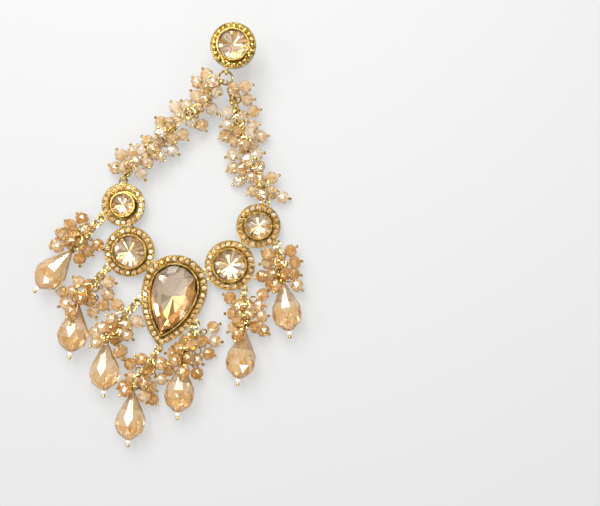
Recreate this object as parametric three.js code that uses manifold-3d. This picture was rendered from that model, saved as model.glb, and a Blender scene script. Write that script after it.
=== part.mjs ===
// Chandelier earring with an antique gold finish, champagne crystals and faceted glass beads.
// Millimetres. X is right and Y up in the photographed view, Z is up from the surface it lies on.
// The origin is on that surface, under the centre of the pear setting's round end.
import * as THREE from "three";
import { mergeVertices } from "three/addons/utils/BufferGeometryUtils.js";
import ManifoldModule from "manifold-3d";

const { Manifold, Mesh: ManifoldMesh } = await loadManifold();

// Clearance between neighbouring pieces
const GAP = 0.3;

// Wire and rings: radius of the wire, and radius from a ring's centre to the middle of its wire
const WIRE = 0.3;
const WIRE_SIDES = 5;
const RING_SIDES = 10;
const EYE_RING = 0.95;
const HANG_RING = 1.35;
const LINK_RING = 1.0;
const LOOP_RING = 0.95;
const JUMP_RING = 1.75;
const JOINING_RING = 1.4;
const RING_ROLL = 62;
const BACK_LOOP_RING = 0.85;

// Beads on headpins, and the chain that carries them
const BEAD_RADIUS = 1.8;
const BEAD_LENGTH = 3.2;
const BEAD_SIDES = 10;
const PIN_RADIUS = 0.4;
const CHAIN_RADIUS = 0.32;
const STRAND_CLIMB = 2.4;
const SIDE_SLOPE = 0.85;

// Faceted drop, with a seed pearl and a ball below it on its pin
const DROP_LENGTH = 12;
const DROP_RADIUS = 4.05;
const DROP_SIDES = 10;
const DROP_AXIS_HEIGHT = 4.15;
const DROP_PROFILE = [[0.39, 0.72], [0.67, 1], [0.89, 0.82], [1, 0.3]];
const DROP_BLOCKS = [
  [0, 0.15], [0.1, 0.3], [0.2, 0.42], [0.3, 0.55], [0.4, 0.68], [0.55, 0.85], [0.7, 0.92],
];
const PEARL_RADIUS = 0.7;
const PIN_BALL_RADIUS = 0.5;
const PIN_BARE = 0.3;

// Settings: widths are radii of the girdle and the rim, heights are above the setting's own back
const SETTING_SIDES = 16;
const BEZEL_WALL = 0.15;
const LIP = 0.15;
const LIP_RISE = 0.35;
const LIP_THICKNESS = 0.2;
const CUP_FLOOR = 0.6;
const GIRDLE = 0.3;
const CROWN = 0.9;
const CULET = 0.15;
const STONE_SIDES = 12;
const STONE_TABLE = 0.52;
const LOW_CUP = { plateBottom: 1.8, plateTop: 3.0, girdleAt: 3.6 };
const STUD_CUP = { plateBottom: 0, plateTop: 1.5, girdleAt: 2.3 };
const SETTINGS = {
  stud: { x: 15.84, y: 61.87, z: 8.9, girdle: 3.75, rim: 5.85, ...STUD_CUP },
  small_left: { x: -13.62, y: 21.72, z: 0, girdle: 2.85, rim: 5.6, ...LOW_CUP },
  large_left: { x: -12.0, y: 9.42, z: 0, girdle: 4.15, rim: 6.5, ...LOW_CUP },
  large_right: { x: 14.4, y: 5.81, z: 0, girdle: 4.15, rim: 6.5, ...LOW_CUP },
  small_right: { x: 21.92, y: 16.15, z: 0, girdle: 3.25, rim: 5.75, ...LOW_CUP },
};
const PEAR_WIDTH = 16.9;
const PEAR_LENGTH = 24.4;
const PEAR_TILT = -15.5;
const PEAR_HALO = 2.45;
const PEAR_ARC_STEPS = 4;
const PEAR_TABLE = 0.58;
const PEAR_KEEL = 2.5;

// Loops on the backs of the settings, and the neighbours that a ring joins there
const BACK_LOOP_HEIGHT = 1.2;
const NEIGHBOURS = [
  ["small_left", "large_left"], ["large_left", "pear"], ["pear", "large_right"],
  ["large_right", "small_right"],
];

// Ring below the stud: bearing of its eye, how steeply it hangs, and the strands' bearings on it
const STUD_EYE_BEARING = -104;
const JUMP_RING_DROP = 0.55;
const STRAND_SPREAD = 36;

// Ear post and nut
const POST_RADIUS = 0.45;
const NUT_RADIUS = 2.6;
const NUT_HEIGHT = 3.2;
const NUT_EDGE = 1;
const NUT_FOOT = 2.4;

// Strands: the few points that each one lies along, from the top ring to its setting
const STRANDS = {
  left: {
    route: [[7.4, 48.2, 4.6], [1.2, 43.8, 3.6], [-5.2, 36.2, 3.6], [-11.6, 31.4, 3.4]],
    end: { setting: "small_left", bearing: 91 },
    chartStart: -1.6,
  },
  right: {
    route: [[15.6, 48.2, 5.0], [17.9, 41.0, 3.8], [19.1, 34.3, 3.6], [22.2, 28.4, 3.4]],
    end: { setting: "small_right", bearing: 74 },
    chartStart: -1.0,
  },
};

// Bead charts, a pair of millimetres for each bead: along the chain, and off its line to the
// right of the way down
const STRAND_BEADS = {
  left: [
    [2.5, 4.2], [3.4, -1.2], [5.2, 4.2], [7.0, -0.6], [8.3, 3.0], [11.7, 2.0], [11.8, -4.2],
    [14.5, 3.2], [18.3, -3.0], [19.4, 3.4], [23.5, -3.4],
    [25.5, 2.8], [26.0, -2.2], [29.0, -1.8], [31.5, 3.2], [32.4, -2.8],
    [33.8, 3.8], [35.6, 3.6],
  ],
  right: [
    [1.6, -3.8], [4.6, -3.6], [7.4, 2.4], [9.8, -1.2], [12.6, -2.8], [12.7, 4.6],
    [15.0, -4.4], [15.6, 3.0], [17.9, 3.6], [19.6, -2.6],
    [24.2, 5.0], [25.6, 2.0], [27.2, -3.2], [28.4, 2.4], [30.2, -2.4], [32.4, -4.6],
  ],
};

// Strings that hang: the eye's bearing on a round rim, or its flank and degrees on the pear, the
// drop's lower end with its bearing, how far past the eye the chart starts, and the bead chart
const HANGINGS = [
  {
    eye: { setting: "small_left", bearing: 210 },
    drop: { x: -35.3, y: 0.4, bearing: -42.6 },
    chartStart: 1.1,
    beads: [
      [3.0, 4.0], [6.2, 5.2], [12.4, 4.6], [7.4, -0.9], [5.4, -3.8], [11.2, -2.4],
    ],
  },
  {
    eye: { setting: "large_left", bearing: 216 },
    drop: { x: -27.2, y: -16.5, bearing: -8.8 },
    chartStart: 1.8,
    beads: [
      [5.8, 3.2], [10.8, 5.0], [1.2, -2.8], [3.2, -4.6], [7.4, -2.2], [9.6, -4.4],
    ],
  },
  {
    eye: { flank: -1, degrees: 17 },
    drop: { x: -18.45, y: -26.56, bearing: -2.7 },
    chartStart: 1.4,
    beads: [
      [3.2, 4.1], [3.2, -3.2], [6.7, 2.1], [7.6, -3.4], [12.6, 4.0], [12.0, -4.8],
    ],
  },
  {
    eye: { flank: 0, degrees: 90 },
    drop: { x: -11.96, y: -39.5, bearing: -5.4 },
    chartStart: -0.7,
    beads: [
      [5.4, 2.4], [8.0, 4.2], [7.8, -4.6], [10.4, -4.0], [13.8, 3.6],
      [12.8, -5.2],
    ],
  },
  {
    eye: { flank: 1, degrees: 23 },
    drop: { x: 0.92, y: -32.3, bearing: -5.4 },
    chartStart: 0.6,
    beads: [
      [-0.6, -4.9], [1.9, -6.0], [6.2, -5.5], [8.6, 3.2], [8.8, -3.6],
      [11.4, -4.2],
    ],
  },
  {
    eye: { setting: "large_right", bearing: -61 },
    drop: { x: 16.8, y: -23.5, bearing: -7.5 },
    chartStart: 0.4,
    beads: [
      [6.0, 3.1], [9.4, 3.0], [1.2, -5.0], [7.4, -4.4], [10.6, -4.6],
    ],
  },
  {
    eye: { setting: "small_right", bearing: -45 },
    drop: { x: 30.0, y: -11.06, bearing: 7.2 },
    chartStart: 0,
    beads: [
      [4.6, 3.2], [5.9, -3.9], [7.9, 5.2], [10.6, 3.2], [12.0, -3.4],
    ],
  },
];

// Beads are charted in the photographed view and then settle until they lie clear of each other
const SETTLE_ROUNDS = 90;
const FREE_ROUNDS = 30;
const NEIGHBOUR_GAP = 0.06;
const PULL_BACK = 0.04;

const gold = { color: 0xc9a24d, roughness: 0.32, metalness: 1 };
const crystal = { color: 0xe8c79f, roughness: 0.08, metalness: 0 };
const beaded = { color: 0xe2b680, roughness: 0.18, metalness: 0.2 };

const UP = new THREE.Vector3(0, 0, 1);
const DOWN = new THREE.Vector3(0, 0, -1);
const radians = THREE.MathUtils.degToRad;
const vector = (x, y, z) => new THREE.Vector3(x, y, z);
const heading = (degrees) => vector(Math.cos(radians(degrees)), Math.sin(radians(degrees)), 0);
const bearingOf = (way) => THREE.MathUtils.radToDeg(Math.atan2(way.y, way.x));

async function loadManifold() {
  const wasm = await ManifoldModule();
  wasm.setup();
  return wasm;
}

// Solid from a closed geometry, for joining and cutting
function solid(geometry) {
  const bare = geometry.clone().deleteAttribute("normal").deleteAttribute("uv");
  const merged = mergeVertices(bare);
  const corners = Array.from(merged.index.array);
  const triangles = [];
  for (let i = 0; i < corners.length; i += 3) {
    const triangle = corners.slice(i, i + 3);
    if (new Set(triangle).size === 3) triangles.push(...triangle);
  }
  return new Manifold(new ManifoldMesh({
    numProp: 3,
    vertProperties: new Float32Array(merged.attributes.position.array),
    triVerts: new Uint32Array(triangles),
  }));
}

const joined = (solids) => solids.reduce((whole, next) => whole.add(next));

function geometryOf(whole) {
  const { vertProperties, triVerts } = whole.getMesh();
  const geometry = new THREE.BufferGeometry();
  geometry.setAttribute("position", new THREE.BufferAttribute(vertProperties, 3));
  geometry.setIndex(new THREE.BufferAttribute(triVerts, 1));
  return geometry;
}

// Frame at a place with Z along a direction and X level, then turned about that direction
function frameAt(place, along, roll = 0) {
  const z = along.clone().normalize();
  const x = vector(0, 0, 0).crossVectors(UP, z);
  if (x.length() < 1e-6) x.set(1, 0, 0);
  x.normalize().applyAxisAngle(z, radians(roll));
  const y = vector(0, 0, 0).crossVectors(z, x);
  return new THREE.Matrix4().makeBasis(x, y, z).setPosition(place);
}

// Shape turned about Z through pairs of radius and height, from the foot up
function turned(profile, sides) {
  const points = profile.map(([radius, height]) => new THREE.Vector2(radius, height));
  return new THREE.LatheGeometry(points, sides).rotateX(Math.PI / 2);
}

// Wire ring whose plane holds Z: level when Z is laid level, and upright when rolled by 90
const ring = (radius) => (
  new THREE.TorusGeometry(radius, WIRE, WIRE_SIDES, RING_SIDES).rotateX(Math.PI / 2)
);

const ringAt = (place, along, roll, radius) => ring(radius).applyMatrix4(frameAt(place, along, roll));

// Distance between the centres of two rings that hang in one another
const linked = (first, second) => first + second - 2 * WIRE - GAP;

// Outline of the pear at a distance inside its rim, with its round end's centre at the origin
function pearShape(inset) {
  const round = PEAR_WIDTH / 2;
  const { flank, offset } = pearFlank();
  const end = Math.acos(offset / (flank - inset));
  return new THREE.Shape()
    .absarc(0, 0, round - inset, 0, Math.PI)
    .absarc(offset, 0, flank - inset, Math.PI, Math.PI + end)
    .absarc(-offset, 0, flank - inset, -end, 0);
}

// Radius of the arc along each flank, and how far its centre lies past the pear's axis
function pearFlank() {
  const round = PEAR_WIDTH / 2;
  const tip = PEAR_LENGTH - round;
  const flank = (tip * tip + round * round) / (2 * round);
  return { flank, offset: flank - round };
}

// Pear-shaped slab between two heights
function pearSlab(inset, bottom, top) {
  const options = { depth: top - bottom, bevelEnabled: false, curveSegments: PEAR_ARC_STEPS };
  return new THREE.ExtrudeGeometry(pearShape(inset), options).translate(0, 0, bottom);
}

// Where a setting stands, and how it is turned
function settingFrame(name) {
  if (name === "pear") return new THREE.Matrix4().makeRotationZ(radians(PEAR_TILT));
  const { x, y, z } = SETTINGS[name];
  return new THREE.Matrix4().setPosition(x, y, z);
}

// Lift from a setting's back to its girdle
const liftTo = ({ girdleAt }) => new THREE.Matrix4().setPosition(0, 0, girdleAt);

// Eye's centre on a rim, with the way out from the rim there
function eyeAt({ setting, bearing, flank, degrees }) {
  const reach = EYE_RING - WIRE / 2;
  const height = (LOW_CUP.plateBottom + LOW_CUP.plateTop) / 2;
  if (setting) {
    const { x, y, rim } = SETTINGS[setting];
    const out = heading(bearing);
    return { place: vector(x, y, height).addScaledVector(out, rim + reach), out };
  }
  const arc = pearFlank();
  const turn = radians(degrees);
  const place = vector(flank * (arc.flank * Math.cos(turn) - arc.offset), -arc.flank * Math.sin(turn), 0);
  const out = vector(flank * Math.cos(turn), -Math.sin(turn), 0);
  if (flank === 0) place.set(0, PEAR_WIDTH / 2 - PEAR_LENGTH, 0);
  place.addScaledVector(out, reach).setZ(height);
  const turnedBy = radians(PEAR_TILT);
  return { place: place.applyAxisAngle(UP, turnedBy), out: out.applyAxisAngle(UP, turnedBy) };
}

// Heights of a cup's lip, and how far out from the girdle its bezel is
function cupSizes({ girdleAt }) {
  const lipBottom = girdleAt + GIRDLE + LIP_RISE;
  return { bezel: GAP + BEZEL_WALL, lipBottom, lipTop: lipBottom + LIP_THICKNESS };
}

// Cup with its halo band, bezel and lip
function roundSetting(name) {
  const { girdle, rim, plateBottom, plateTop } = SETTINGS[name];
  const { bezel, lipBottom, lipTop } = cupSizes(SETTINGS[name]);
  return turned([
    [0, 0], [girdle + bezel, 0], [girdle + bezel, plateBottom], [rim, plateBottom], [rim, plateTop],
    [girdle + bezel, plateTop], [girdle + bezel, lipTop], [girdle - LIP, lipTop],
    [girdle - LIP, lipBottom], [girdle + GAP, lipBottom], [girdle + GAP, CUP_FLOOR], [0, CUP_FLOOR],
  ], SETTING_SIDES);
}

function pearSetting() {
  const { bezel, lipBottom, lipTop } = cupSizes(LOW_CUP);
  const cup = solid(pearSlab(PEAR_HALO - bezel, 0, lipTop));
  return cup.add(solid(pearSlab(0, LOW_CUP.plateBottom, LOW_CUP.plateTop)))
    .subtract(solid(pearSlab(PEAR_HALO - GAP, CUP_FLOOR, lipBottom)))
    .subtract(solid(pearSlab(PEAR_HALO + LIP, CUP_FLOOR, lipTop + GAP)));
}

// Levels of a cut stone from its girdle, with the share of the girdle's width at each
const stoneLevels = ({ girdleAt }, table) => [
  [CUP_FLOOR + GAP - girdleAt, CULET], [0, 1], [GIRDLE, 1], [GIRDLE + CROWN, table],
];

function roundStone(name) {
  const { girdle } = SETTINGS[name];
  const levels = stoneLevels(SETTINGS[name], STONE_TABLE);
  const profile = levels.map(([height, share]) => [girdle * share, height]);
  return turned([[0, profile[0][1]], ...profile, [0, GIRDLE + CROWN]], STONE_SIDES);
}

// Pear stone: one slab whose levels are drawn in about the keel of its facets
function pearStone() {
  const levels = stoneLevels(LOW_CUP, PEAR_TABLE);
  const steps = levels.length - 1;
  const options = { depth: steps, steps, bevelEnabled: false, curveSegments: PEAR_ARC_STEPS };
  const geometry = new THREE.ExtrudeGeometry(pearShape(PEAR_HALO), options);
  const corners = geometry.attributes.position;
  for (let i = 0; i < corners.count; i += 1) {
    const [height, share] = levels[Math.round(corners.getZ(i))];
    corners.setXYZ(i, corners.getX(i) * share, (corners.getY(i) + PEAR_KEEL) * share - PEAR_KEEL, height);
  }
  return geometry;
}

// Faceted drop with its loop, a seed pearl and the ball on the end of its pin
function drop(roll) {
  const pearlAt = DROP_LENGTH + PEARL_RADIUS;
  const ballEnd = pearlAt + PEARL_RADIUS + 1.6 * PIN_BALL_RADIUS;
  const body = turned([
    [0, -PIN_BARE], [0.15 * DROP_RADIUS, -PIN_BARE],
    ...DROP_PROFILE.map(([share, radius]) => [radius * DROP_RADIUS, share * DROP_LENGTH]),
    [PEARL_RADIUS, pearlAt], [0, ballEnd],
  ], DROP_SIDES);
  return joined([solid(body), solid(ringAt(vector(0, 0, -LOOP_RING), UP, roll, LOOP_RING))]);
}

// Bead and the shank of its headpin, from the chain outwards
function bead({ place, foot }) {
  const reach = place.distanceTo(foot);
  const profile = [
    [0, 0], [PIN_RADIUS, reach - BEAD_LENGTH / 2], [BEAD_RADIUS, reach], [0, reach + BEAD_LENGTH / 2],
  ];
  return turned(profile, BEAD_SIDES).applyMatrix4(frameAt(foot, place.clone().sub(foot)));
}

// Path of straight legs through points
function legs(points) {
  const path = new THREE.CurvePath();
  points.slice(1).forEach((point, i) => path.add(new THREE.LineCurve3(points[i], point)));
  return path;
}

// Chain along a path, as a plain tube on each leg
function chain(path) {
  const corners = Array.from({ length: WIRE_SIDES }, (_, k) => (
    new THREE.Vector2(CHAIN_RADIUS, 0).rotateAround(new THREE.Vector2(), (2 * Math.PI * k) / WIRE_SIDES)
  ));
  const section = new THREE.Shape(corners);
  return path.curves.map((leg) => new THREE.ExtrudeGeometry(section, { steps: 1, extrudePath: leg }));
}

// Place at a distance along a path or straight on past its ends, with the level way to the right
function placeOn(path, distance) {
  const length = path.getLength();
  const share = THREE.MathUtils.clamp(distance / length, 0, 1);
  const ahead = path.getTangent(share);
  const place = path.getPoint(share).addScaledVector(ahead, distance - share * length);
  return { place, right: vector(ahead.y, -ahead.x, 0).normalize() };
}

// String's beads where the chart has them: over the chain, and lower the further they lie off it
function chartedBeads({ name, path, chartStart, chart }) {
  return chart.map(([along, side]) => {
    const { place, right } = placeOn(path, along + chartStart);
    const footAt = THREE.MathUtils.clamp(along + chartStart, WIRE, path.getLength() - WIRE);
    const foot = placeOn(path, footAt).place;
    const home = place.addScaledVector(right, side);
    home.z = Math.max(foot.z + STRAND_CLIMB - SIDE_SLOPE * Math.abs(side), BEAD_RADIUS);
    return { name, foot, home, place: home.clone() };
  });
}

// Beads moved apart, out of the blocks in their way and off the settings, and kept near home
function settle(beads, blocks, discs) {
  const away = vector(0, 0, 0);
  const push = (bead, from, want, share) => {
    away.subVectors(bead.place, from);
    const near = away.length();
    if (near < want) away.multiplyScalar((share * (want - near)) / near);
    return near < want;
  };
  for (let round = 0; round < SETTLE_ROUNDS; round += 1) {
    beads.forEach((bead, i) => {
      beads.slice(i + 1).forEach((other) => {
        const clear = other.name === bead.name ? NEIGHBOUR_GAP : GAP;
        const want = 2 * BEAD_RADIUS + clear;
        if (!push(bead, other.place, want, 0.5)) return;
        bead.place.add(away);
        other.place.sub(away);
      });
      blocks.filter((block) => block.name !== bead.name).forEach((block) => {
        if (push(bead, block.place, BEAD_RADIUS + block.radius + GAP, 1)) bead.place.add(away);
      });
      discs.forEach((disc) => {
        const below = vector(disc.x, disc.y, bead.place.z);
        if (bead.place.z - BEAD_RADIUS > disc.top + GAP) return;
        if (push(bead, below, disc.radius + BEAD_RADIUS + GAP, 1)) bead.place.add(away);
      });
      if (round < SETTLE_ROUNDS - FREE_ROUNDS) bead.place.lerp(bead.home, PULL_BACK);
      bead.place.z = Math.max(bead.place.z, BEAD_RADIUS);
    });
  }
}

// Discs that stand for the settings, the pear's as circles inside its outline
function settingDiscs() {
  const discs = Object.values(SETTINGS).map(({ x, y, z, rim, plateTop, girdleAt }) => (
    { x, y, radius: rim, top: z + Math.max(plateTop, girdleAt) + GIRDLE + CROWN }
  ));
  const { flank, offset } = pearFlank();
  const tip = PEAR_LENGTH - PEAR_WIDTH / 2;
  for (let down = 0; down < tip; down += 2) {
    const centre = vector(0, -down, 0).applyAxisAngle(UP, radians(PEAR_TILT));
    const radius = flank - Math.hypot(offset, down);
    discs.push({ x: centre.x, y: centre.y, radius, top: LOW_CUP.girdleAt + GIRDLE + CROWN });
  }
  return discs;
}

// Blocks that a ring puts in the way, as twelve points around it
const blocksAround = (place, along, roll, radius) => {
  const frame = frameAt(place, along, roll);
  return Array.from({ length: 12 }, (_, k) => {
    const point = heading(30 * k).multiplyScalar(radius);
    return { place: vector(point.x, 0, point.y).applyMatrix4(frame), radius: WIRE };
  });
};

// Hanging string: its rings, chain and drop, laid out from its eye to its drop
function layHanging({ eye, drop: lower, chartStart, beads }, i) {
  const name = `cluster_${i + 1}`;
  const { place: eyePlace, out } = eyeAt(eye);
  const along = heading(lower.bearing - 90);
  const tip = vector(lower.x, lower.y, DROP_AXIS_HEIGHT).addScaledVector(along, -DROP_LENGTH);
  const loop = tip.clone().addScaledVector(along, -LOOP_RING);
  const way = loop.clone().sub(eyePlace).normalize();
  const roll = i % 2 ? RING_ROLL : -RING_ROLL;
  const hang = eyePlace.clone().addScaledVector(way, linked(EYE_RING, HANG_RING));
  const top = hang.clone().addScaledVector(way, linked(HANG_RING, LINK_RING));
  const foot = loop.clone().addScaledVector(way, -linked(LINK_RING, LOOP_RING));
  const start = top.clone().addScaledVector(way, LINK_RING);
  const path = legs([start, foot.clone().addScaledVector(way, -LINK_RING)]);
  return {
    name, eyePlace, out, along, tip, loop, way, roll, hang, top, foot, path,
    chartStart: chartStart - eyePlace.distanceTo(start), chart: beads,
  };
}

// Strand: its end links and its chain, from the top ring to the eye on its setting
function layStrand(side, index) {
  const { route, end, chartStart } = STRANDS[side];
  const turn = index ? STRAND_SPREAD : -STRAND_SPREAD;
  const { place: ringPlace, way: down } = topRing();
  const level = vector(0, 0, 0).crossVectors(UP, down).normalize();
  const way = down.clone().multiplyScalar(Math.cos(radians(turn)));
  way.addScaledVector(level, Math.sin(radians(turn)));
  const top = ringPlace.clone().addScaledVector(way, linked(JUMP_RING, LINK_RING));
  const eye = eyeAt(end);
  const middle = route.map((point) => vector(...point));
  const back = middle[middle.length - 1].clone().sub(eye.place).normalize();
  const foot = eye.place.clone().addScaledVector(back, linked(EYE_RING, LINK_RING));
  const path = legs([
    top.clone().addScaledVector(way, LINK_RING), ...middle, foot.clone().addScaledVector(back, LINK_RING),
  ]);
  return { name: `${side}_strand`, way, top, foot, back, path, chartStart, chart: STRAND_BEADS[side], eye };
}

// Ring below the stud, and the way down through it
function topRing() {
  const { x, y, z, rim, plateTop } = SETTINGS.stud;
  const out = heading(STUD_EYE_BEARING);
  const eye = vector(x, y, z + plateTop / 2).addScaledVector(out, rim + EYE_RING - WIRE / 2);
  const way = out.clone().setZ(-JUMP_RING_DROP).normalize();
  return { eye, out, way, place: eye.clone().addScaledVector(way, linked(EYE_RING, JUMP_RING)) };
}

// Joining rings between neighbouring settings, with the loops on the backs that they pass through
function layJoints() {
  const centre = (name) => SETTINGS[name] ?? { x: 0, y: 0, rim: PEAR_WIDTH / 2 };
  return NEIGHBOURS.map(([first, second]) => {
    const [a, b] = [centre(first), centre(second)];
    const from = vector(a.x, a.y, BACK_LOOP_HEIGHT);
    const way = vector(b.x, b.y, BACK_LOOP_HEIGHT).sub(from);
    const between = (way.length() + a.rim - b.rim) / 2;
    way.normalize();
    const place = from.addScaledVector(way, between);
    return {
      place, way,
      loops: {
        [first]: place.clone().addScaledVector(way, -JOINING_RING),
        [second]: place.clone().addScaledVector(way, JOINING_RING),
      },
    };
  });
}

const hangings = HANGINGS.map(layHanging);
const strands = Object.keys(STRANDS).map(layStrand);
const joints = layJoints();
const crown = topRing();
const strings = [...strands, ...hangings];
const beads = strings.flatMap(chartedBeads);
const blocks = [
  ...hangings.flatMap(({ eyePlace, out, hang, way, roll, loop, along, tip }) => [
    ...blocksAround(eyePlace, out, 0, EYE_RING),
    ...blocksAround(hang, way, roll, HANG_RING),
    ...blocksAround(loop, along, roll, LOOP_RING),
    ...DROP_BLOCKS.map(([share, radius]) => (
      { place: tip.clone().addScaledVector(along, share * DROP_LENGTH), radius: radius * DROP_RADIUS }
    )),
  ]),
  ...strands.flatMap(({ eye }) => blocksAround(eye.place, eye.out, 0, EYE_RING)),
  ...blocksAround(crown.place, crown.way, 0, JUMP_RING),
  ...strings.flatMap(({ name, path }) => (
    Array.from({ length: Math.ceil(path.getLength()) }, (_, k) => (
      { name, place: placeOn(path, k).place, radius: CHAIN_RADIUS }
    ))
  )),
];
settle(beads, blocks, settingDiscs());

// Chain with a link at each end and its beads, as one solid
function stringSolid({ name, path }, links) {
  const threaded = beads.filter((one) => one.name === name).map(bead);
  return joined([...chain(path), ...links, ...threaded].map(solid));
}

// Rings soldered to a setting: the eyes on its rim and the loops on its back
function soldered(name) {
  const eyes = HANGINGS.map(({ eye }, i) => [eye.setting ?? "pear", hangings[i].eyePlace, hangings[i].out]);
  strands.forEach(({ eye }, i) => {
    eyes.push([Object.values(STRANDS)[i].end.setting, eye.place, eye.out]);
  });
  const toSetting = settingFrame(name).invert();
  return [
    ...eyes.filter(([owner]) => owner === name).map(([, place, out]) => ringAt(place, out, 0, EYE_RING)),
    ...joints.filter(({ loops }) => loops[name]).map(({ loops, way }) => (
      ringAt(loops[name], DOWN, -bearingOf(way), BACK_LOOP_RING)
    )),
  ].map((geometry) => solid(geometry.applyMatrix4(toSetting)));
}

// Stud's cup with the eye at its foot and the ear post on its back
function studSolid() {
  const { z, plateTop } = SETTINGS.stud;
  const toStud = settingFrame("stud").invert();
  const top = plateTop / 2;
  const post = turned([[0, -z], [POST_RADIUS, -z], [POST_RADIUS, top], [0, top]], BEAD_SIDES);
  const eye = ringAt(crown.eye, crown.out, 90, EYE_RING).applyMatrix4(toStud);
  return joined([roundSetting("stud"), post, eye].map(solid));
}

function nut() {
  const bore = POST_RADIUS + GAP;
  const edge = NUT_HEIGHT - NUT_EDGE;
  const profile = [[bore, 0], [NUT_RADIUS, 0], [NUT_RADIUS, edge], [bore, NUT_HEIGHT], [bore, 0]];
  return turned(profile, DROP_SIDES).translate(0, 0, NUT_FOOT - SETTINGS.stud.z);
}

const model = new THREE.Group();

// Group that stands in a frame of its own
function group(frame) {
  const holder = new THREE.Group();
  holder.applyMatrix4(frame);
  model.add(holder);
  return holder;
}

function add(parent, name, geometry, { color, roughness, metalness }, frame = new THREE.Matrix4()) {
  const material = new THREE.MeshStandardMaterial({ color, roughness, metalness, flatShading: true });
  const mesh = new THREE.Mesh(geometry, material);
  mesh.name = name;
  mesh.applyMatrix4(frame);
  parent.add(mesh);
}

const stud = group(settingFrame("stud"));
add(stud, "stud_setting", geometryOf(studSolid()), gold);
add(stud, "stud_stone", roundStone("stud"), crystal, liftTo(STUD_CUP));
add(stud, "ear_nut", nut(), gold);
add(model, "top_jump_ring", ring(JUMP_RING), gold, frameAt(crown.place, crown.way));

["small_left", "large_left", "large_right", "small_right"].forEach((name) => {
  const setting = group(settingFrame(name));
  const whole = joined([solid(roundSetting(name)), ...soldered(name)]);
  add(setting, `${name}_setting`, geometryOf(whole), gold);
  add(setting, `${name}_stone`, roundStone(name), crystal, liftTo(LOW_CUP));
});

const pear = group(settingFrame("pear"));
add(pear, "pear_setting", geometryOf(joined([pearSetting(), ...soldered("pear")])), gold);
add(pear, "pear_stone", pearStone(), crystal, liftTo(LOW_CUP));

joints.forEach(({ place, way }, i) => {
  add(model, `joining_ring_${i + 1}`, ring(JOINING_RING), gold, frameAt(place, way));
});

strands.forEach((strand) => {
  const { top, way, foot, back } = strand;
  const links = [[top, way], [foot, back]].map(([place, along]) => ringAt(place, along, 90, LINK_RING));
  add(model, strand.name, geometryOf(stringSolid(strand, links)), beaded);
});

hangings.forEach((hanging, i) => {
  const { hang, way, roll, top, foot, tip, along } = hanging;
  const links = [top, foot].map((place) => ringAt(place, way, roll + 90, LINK_RING));
  add(model, `hang_ring_${i + 1}`, ring(HANG_RING), gold, frameAt(hang, way, roll));
  add(model, hanging.name, geometryOf(stringSolid(hanging, links)), beaded);
  add(model, `drop_${i + 1}`, geometryOf(drop(roll)), crystal, frameAt(tip, along));
});

export default model;
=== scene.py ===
"""Chandelier earring of antique gold, champagne crystals and faceted beads, lying face up on white."""

import math
import random

import bmesh
import bpy
from mathutils import Matrix, Vector


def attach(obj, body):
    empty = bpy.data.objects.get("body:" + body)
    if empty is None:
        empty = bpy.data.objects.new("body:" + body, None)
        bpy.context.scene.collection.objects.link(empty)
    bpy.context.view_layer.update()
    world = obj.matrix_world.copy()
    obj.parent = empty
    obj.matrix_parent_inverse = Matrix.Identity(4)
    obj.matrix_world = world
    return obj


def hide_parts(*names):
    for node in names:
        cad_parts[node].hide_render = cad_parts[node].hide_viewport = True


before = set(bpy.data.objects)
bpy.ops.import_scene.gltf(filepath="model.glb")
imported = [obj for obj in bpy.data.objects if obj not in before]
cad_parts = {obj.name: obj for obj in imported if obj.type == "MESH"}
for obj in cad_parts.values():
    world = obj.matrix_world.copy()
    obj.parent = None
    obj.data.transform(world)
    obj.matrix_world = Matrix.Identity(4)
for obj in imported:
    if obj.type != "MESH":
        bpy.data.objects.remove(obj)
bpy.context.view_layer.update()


# Surface, camera and light
# A pale table that glows a little, seen from straight above, under softbox lamps and a patchy sky.

MM = 0.001


def srgb(text):
    """Linear colour from a hexadecimal sRGB one."""
    parts = [int(text[i:i + 2], 16) / 255 for i in (1, 3, 5)]
    return [c / 12.92 if c <= 0.04045 else ((c + 0.055) / 1.055) ** 2.4 for c in parts] + [1.0]


def add_node(tree, kind, settings=None, links=None, **attributes):
    """Node with its attributes, its input values and the sockets that feed it."""
    node = tree.nodes.new(kind)
    for name, value in attributes.items():
        setattr(node, name, value)
    for name, value in (settings or {}).items():
        node.inputs[name].default_value = value
    for name, socket in (links or {}).items():
        tree.links.new(socket, node.inputs[name])
    return node


def material(name):
    """Empty material with its output node."""
    made = bpy.data.materials.new(name)
    made.use_nodes = True
    made.node_tree.nodes.clear()
    return made, made.node_tree, made.node_tree.nodes.new("ShaderNodeOutputMaterial")


def ramp(tree, fac, stops):
    """Colour ramp over a value, from pairs of place and colour."""
    node = add_node(tree, "ShaderNodeValToRGB", links={"Fac": fac})
    while len(node.color_ramp.elements) < len(stops):
        node.color_ramp.elements.new(0.5)
    for element, (place, colour) in zip(node.color_ramp.elements, stops):
        element.position = place
        element.color = srgb(colour)
    return node.outputs["Color"]


scene = bpy.context.scene
scene.view_settings.view_transform = "Standard"

camera = bpy.data.objects.new("camera", bpy.data.cameras.new("camera"))
camera.location = (32.86 * MM, 9.05 * MM, 220 * MM)
camera.data.lens = 49.5
camera.data.sensor_width = 36
camera.data.clip_start = 0.01
scene.collection.objects.link(camera)
scene.camera = camera

white, tree, output = material("white_table")
shader = add_node(tree, "ShaderNodeBsdfPrincipled", {
    "Base Color": srgb("#808080"), "Roughness": 0.7,
    "Emission Color": srgb("#FFFFFF"), "Emission Strength": 0.45,
})
tree.links.new(shader.outputs["BSDF"], output.inputs["Surface"])
bm = bmesh.new()
bmesh.ops.create_grid(bm, x_segments=1, y_segments=1, size=0.8)
table = bpy.data.objects.new("table", bpy.data.meshes.new("table"))
bm.to_mesh(table.data)
bm.free()
table.data.materials.append(white)
scene.collection.objects.link(table)

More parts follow.
